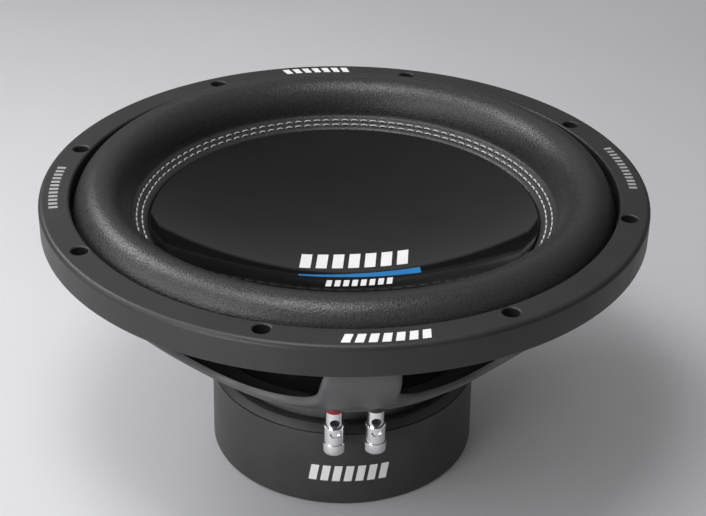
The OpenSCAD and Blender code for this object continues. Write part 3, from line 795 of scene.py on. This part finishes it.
def smooth_route(route, samples):
    """Points of a smooth curve through all the points of the route."""
    knots = np.array(route, float)
    last = len(knots) - 1
    path = []
    for f in np.linspace(0, last, samples):
        i = min(int(f), last - 1)
        u = f - i
        p0, p1, p2, p3 = (knots[min(max(j, 0), last)] for j in (i - 1, i, i + 1, i + 2))
        path.append(0.5 * (2 * p1 + (p2 - p0) * u + (2 * p0 - 5 * p1 + 4 * p2 - p3) * u ** 2
                           + (3 * p1 - p0 - 3 * p2 + p3) * u ** 3))
    return path


def tinsel_lead(x, y, tag, sy):
    """Three twisted strands from the solder tab to the cone."""
    path = [(x, y - sy * inwards, z) for inwards, z in smooth_route(LEAD_ROUTE, 145)]
    strands = []
    for s in range(STRANDS):
        turns = [0.45 * k + s * 2.1 for k in range(len(path))]
        strand = [(px + STRAND_TWIST_R * math.cos(a), py, pz + STRAND_TWIST_R * math.sin(a))
                  for a, (px, py, pz) in zip(turns, path)]
        strands.append(tube(strand, STRAND_R, 8, (1, 0, 0)))
    lead = many(f"tinsel_braid_{tag}", strands, M_TINSEL, SOFT)
    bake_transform(lead)
    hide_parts(f"lead_{tag}")


for side, colour, sx, sy in TERMINALS:
    x, y = sx * TERMINAL_X, sy * TERMINAL_Y
    tag = f"{side}_{colour}"
    body = f"push_{tag}"
    binding_post(x, y, tag)
    sleeve_and_cap(x, y, tag, body)
    insulating_bush(x, y, tag, colour)
    coil_spring(x, y, tag)
    tinsel_lead(x, y, tag, sy)

# ---------------------------------------------------------------- CAD nodes that stay, and their finishes
FINISH = {
    "top_plate": M_STEEL, "magnet_upper": M_FERRITE, "magnet_lower": M_FERRITE, "t_yoke": M_STEEL,
    "motor_screws": M_PLATED, "terminal_plate_front": M_PHENOLIC, "terminal_plate_rear": M_PHENOLIC,
    "terminal_nuts": M_PLATED, "solder_tabs": M_PLATED, "voice_coil_former": M_FORMER,
    "winding_inner": M_COPPER, "winding_outer": M_COPPER}
for name, material in FINISH.items():
    obj = nodes[name]
    if not obj.data.materials:
        obj.data.materials.append(material)
    for k in range(len(obj.data.materials)):
        obj.data.materials[k] = material

# ---------------------------------------------------------------- printed bars, ticks and a stripe
# how far each print stands off its surface
DISH_PRINT, RING_PRINT, BOOT_PRINT = 0.06, 0.03, 0.09


def patch(corners, height, across=6, up=6):
    """Thin printed patch on a surface: corners (x, y) in order, height(x, y) gives z."""
    p = np.array(corners, float)
    verts = []
    for j in range(up + 1):
        for i in range(across + 1):
            u, v = i / across, j / up
            q = (p[0] * (1 - u) + p[1] * u) * (1 - v) + (p[3] * (1 - u) + p[2] * u) * v
            verts.append((q[0], q[1], height(q[0], q[1])))
    return verts, grid(up + 1, across + 1, closed=False)


def on_dish(x, y):
    return dish_z(math.hypot(x, y)) + DISH_PRINT


def on_ring(x, y):
    return RING_TOP + RING_PRINT


def on_floor(x, y):
    return 0.0


def slanted(x0, width, y0, y1, lean):
    """Slanted bar on the dish."""
    corners = [(x0, y0), (x0 + width, y0), (x0 + width + lean, y1), (x0 + lean, y1)]
    return patch(corners, on_dish, 4, 8)


def ring_bars(middle, count, pitch, width, r0, r1, lean):
    """Slanted bars on the ring's flat top, side by side about the angle middle, in degrees."""
    out = []
    for k in range(count):
        a = middle + pitch * (k - (count - 1) / 2) - width / 2
        polar = [(r0, a), (r0, a + width), (r1, a + width + lean), (r1, a + lean)]
        corners = [(r * math.cos(math.radians(t)), r * math.sin(math.radians(t))) for r, t in polar]
        out.append(patch(corners, on_ring, 3, 3))
    return out


def boot_bar(start, width, low, high, lean, steps=6):
    """Slanted bar round the boot's side: start and width in degrees from the front, low and high in mm."""
    verts = []
    for j in range(steps + 1):
        z = low + (high - low) * j / steps
        r = BOOT_R - BOOT_TAPER * z / BOOT_EDGE_Z + BOOT_PRINT
        for i in range(steps + 1):
            a = math.radians(-90 + start + lean * j / steps + width * i / steps)
            verts.append((r * math.cos(a), r * math.sin(a), z))
    return verts, grid(steps + 1, steps + 1, closed=False)


dish_marks = [slanted(-25.6 + 8.6 * k, 5.8, -24.6, -8.4, 2.2) for k in range(7)]
dish_marks += [slanted(-13.4 + 4.5 * k, 2.9, -48.6, -40.0, 1.4) for k in range(8)]
stripe = patch([(-26.5, -34.6), (37.4, -38.4), (37.4, -31.0), (-26.5, -32.9)], on_dish, 40, 4)
for name, shapes, material in (("print_dish_bars", dish_marks, M_WHITE),
                               ("print_dish_line", [stripe], M_BLUE)):
    mark = many(name, shapes, material)
    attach(mark, "cone_assembly")

big = ring_bars(273.2, 7, 2.25, 1.5, 149.2, 156.2, -0.7)
big += ring_bars(92, 7, 2.2, 1.45, 148.8, 155.2, 0.7)
small = ring_bars(179.2, 12, 1.55, 0.85, 150.0, 154.6, 0.0)
small += ring_bars(3.6, 13, 1.5, 0.8, 150.2, 154.4, 0.0)
for name, shapes, material in (("print_ring_bars", big, M_WHITE), ("print_ring_ticks", small, M_PALE)):
    mark = many(name, shapes, material)
    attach(mark, "frame")

boot_marks = [boot_bar(-18.4 + 4.9 * k, 3.3, 15.8, 25.6, 1.3) for k in range(7)]
mark = many("print_boot_bars", boot_marks, M_WHITE)
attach(mark, "frame")

# ---------------------------------------------------------------- floor
FLOOR_HALF = 5000
mat, tree, bsdf = new_material("pale_floor")
tree.links.new(tint(tree, noise(tree, 3.0, 6.0), grey(0.60), grey(0.64)), bsdf.inputs["Base Color"])
tree.links.new(ramp(tree, noise(tree, 40.0), TINT_LOW, TINT_HIGH, 0.55, 0.7), bsdf.inputs["Roughness"])
floor_corners = [(-FLOOR_HALF, -FLOOR_HALF), (FLOOR_HALF, -FLOOR_HALF),
                 (FLOOR_HALF, FLOOR_HALF), (-FLOOR_HALF, FLOOR_HALF)]
floor = many("studio_floor", [patch(floor_corners, on_floor)], mat)

# ---------------------------------------------------------------- lights, in metres and watts
# camera and lights are turned together about the speaker's axis
TURN = Matrix.Rotation(math.radians(-5), 3, "Z")
LIGHT_AIM = (0, 0, 0.12)
# name, place, size across and up, power
LIGHTS = [
    ("key_left", (-0.60, 0.36, 0.72), (0.32, 0.32), 2.6),
    ("top_left", (-0.50, 0.02, 0.88), (0.34, 0.34), 0.7),
    ("overhead", (-0.16, -0.22, 1.02), (0.36, 0.30), 3.6),
    ("low_left", (-0.85, -0.10, 0.42), (0.4, 0.3), 0.9),
    ("front_left", (-0.6, -0.5, 0.55), (0.35, 0.3), 1.3),
    ("low_front", (-0.5, -0.75, 0.18), (0.4, 0.2), 2.6)]
for name, spot, size, power in LIGHTS:
    data = bpy.data.lights.new(name, "AREA")
    data.shape = "RECTANGLE"
    data.size, data.size_y = size
    data.energy = power
    light = bpy.data.objects.new(name, data)
    scene.collection.objects.link(light)
    light.location = TURN @ Vector(spot)
    light.rotation_euler = (TURN @ Vector(LIGHT_AIM) - light.location).to_track_quat("-Z", "Y").to_euler()

# soft sky, dim below the edge of the studio's ceiling light and brighter on the left
SKY, LOW_SKY, SKY_EDGE, SKY_SOFT = 0.46, 0.03, 18.0, 0.8
SKY_LEFT, SKY_RIGHT, SKY_SIDE = 1.35, 0.55, 0.8
world = bpy.data.worlds.new("studio")
scene.world = world
world.use_nodes = True
tree = world.node_tree
direction = split(tree, node(tree, "ShaderNodeTexCoord").outputs["Generated"])
level = ramp(tree, direction["Z"], math.sin(math.radians(SKY_EDGE - SKY_SOFT)),
             math.sin(math.radians(SKY_EDGE + SKY_SOFT)), LOW_SKY, SKY)
slope = ramp(tree, direction["X"], -SKY_SIDE, SKY_SIDE, SKY_LEFT, SKY_RIGHT)
background = tree.nodes["Background"]
tree.links.new(maths(tree, "MULTIPLY", level, slope), background.inputs["Strength"])
background.inputs["Color"].default_value = (1, 1, 1, 1)

# ---------------------------------------------------------------- camera, at the photograph's viewing angle
CAMERA_TILT, CAMERA_ROLL = math.radians(29.7268), math.radians(0.91966)
CAMERA_AIM = (4.8775, 0, 110.9455)                  # in millimetres
CAMERA_AWAY, CAMERA_LENS, CAMERA_SENSOR = 0.841283, 78.887, 36
target = TURN @ Vector(CAMERA_AIM) * MM
back_way = TURN @ Vector((0, -math.cos(CAMERA_TILT), math.sin(CAMERA_TILT)))
level_right = TURN @ Vector((1, 0, 0))
level_up = back_way.cross(level_right)
right = level_right * math.cos(CAMERA_ROLL) + level_up * math.sin(CAMERA_ROLL)
up = level_up * math.cos(CAMERA_ROLL) - level_right * math.sin(CAMERA_ROLL)
lens = bpy.data.cameras.new("camera")
lens.sensor_width, lens.lens = CAMERA_SENSOR, CAMERA_LENS
lens.clip_start, lens.clip_end = 0.05, 30
camera = bpy.data.objects.new("camera", lens)
scene.collection.objects.link(camera)
turn = Matrix((right, up, back_way)).transposed().to_4x4()
camera.matrix_world = Matrix.Translation(target + back_way * CAMERA_AWAY) @ turn
scene.camera = camera
scene.view_settings.view_transform = "Standard"
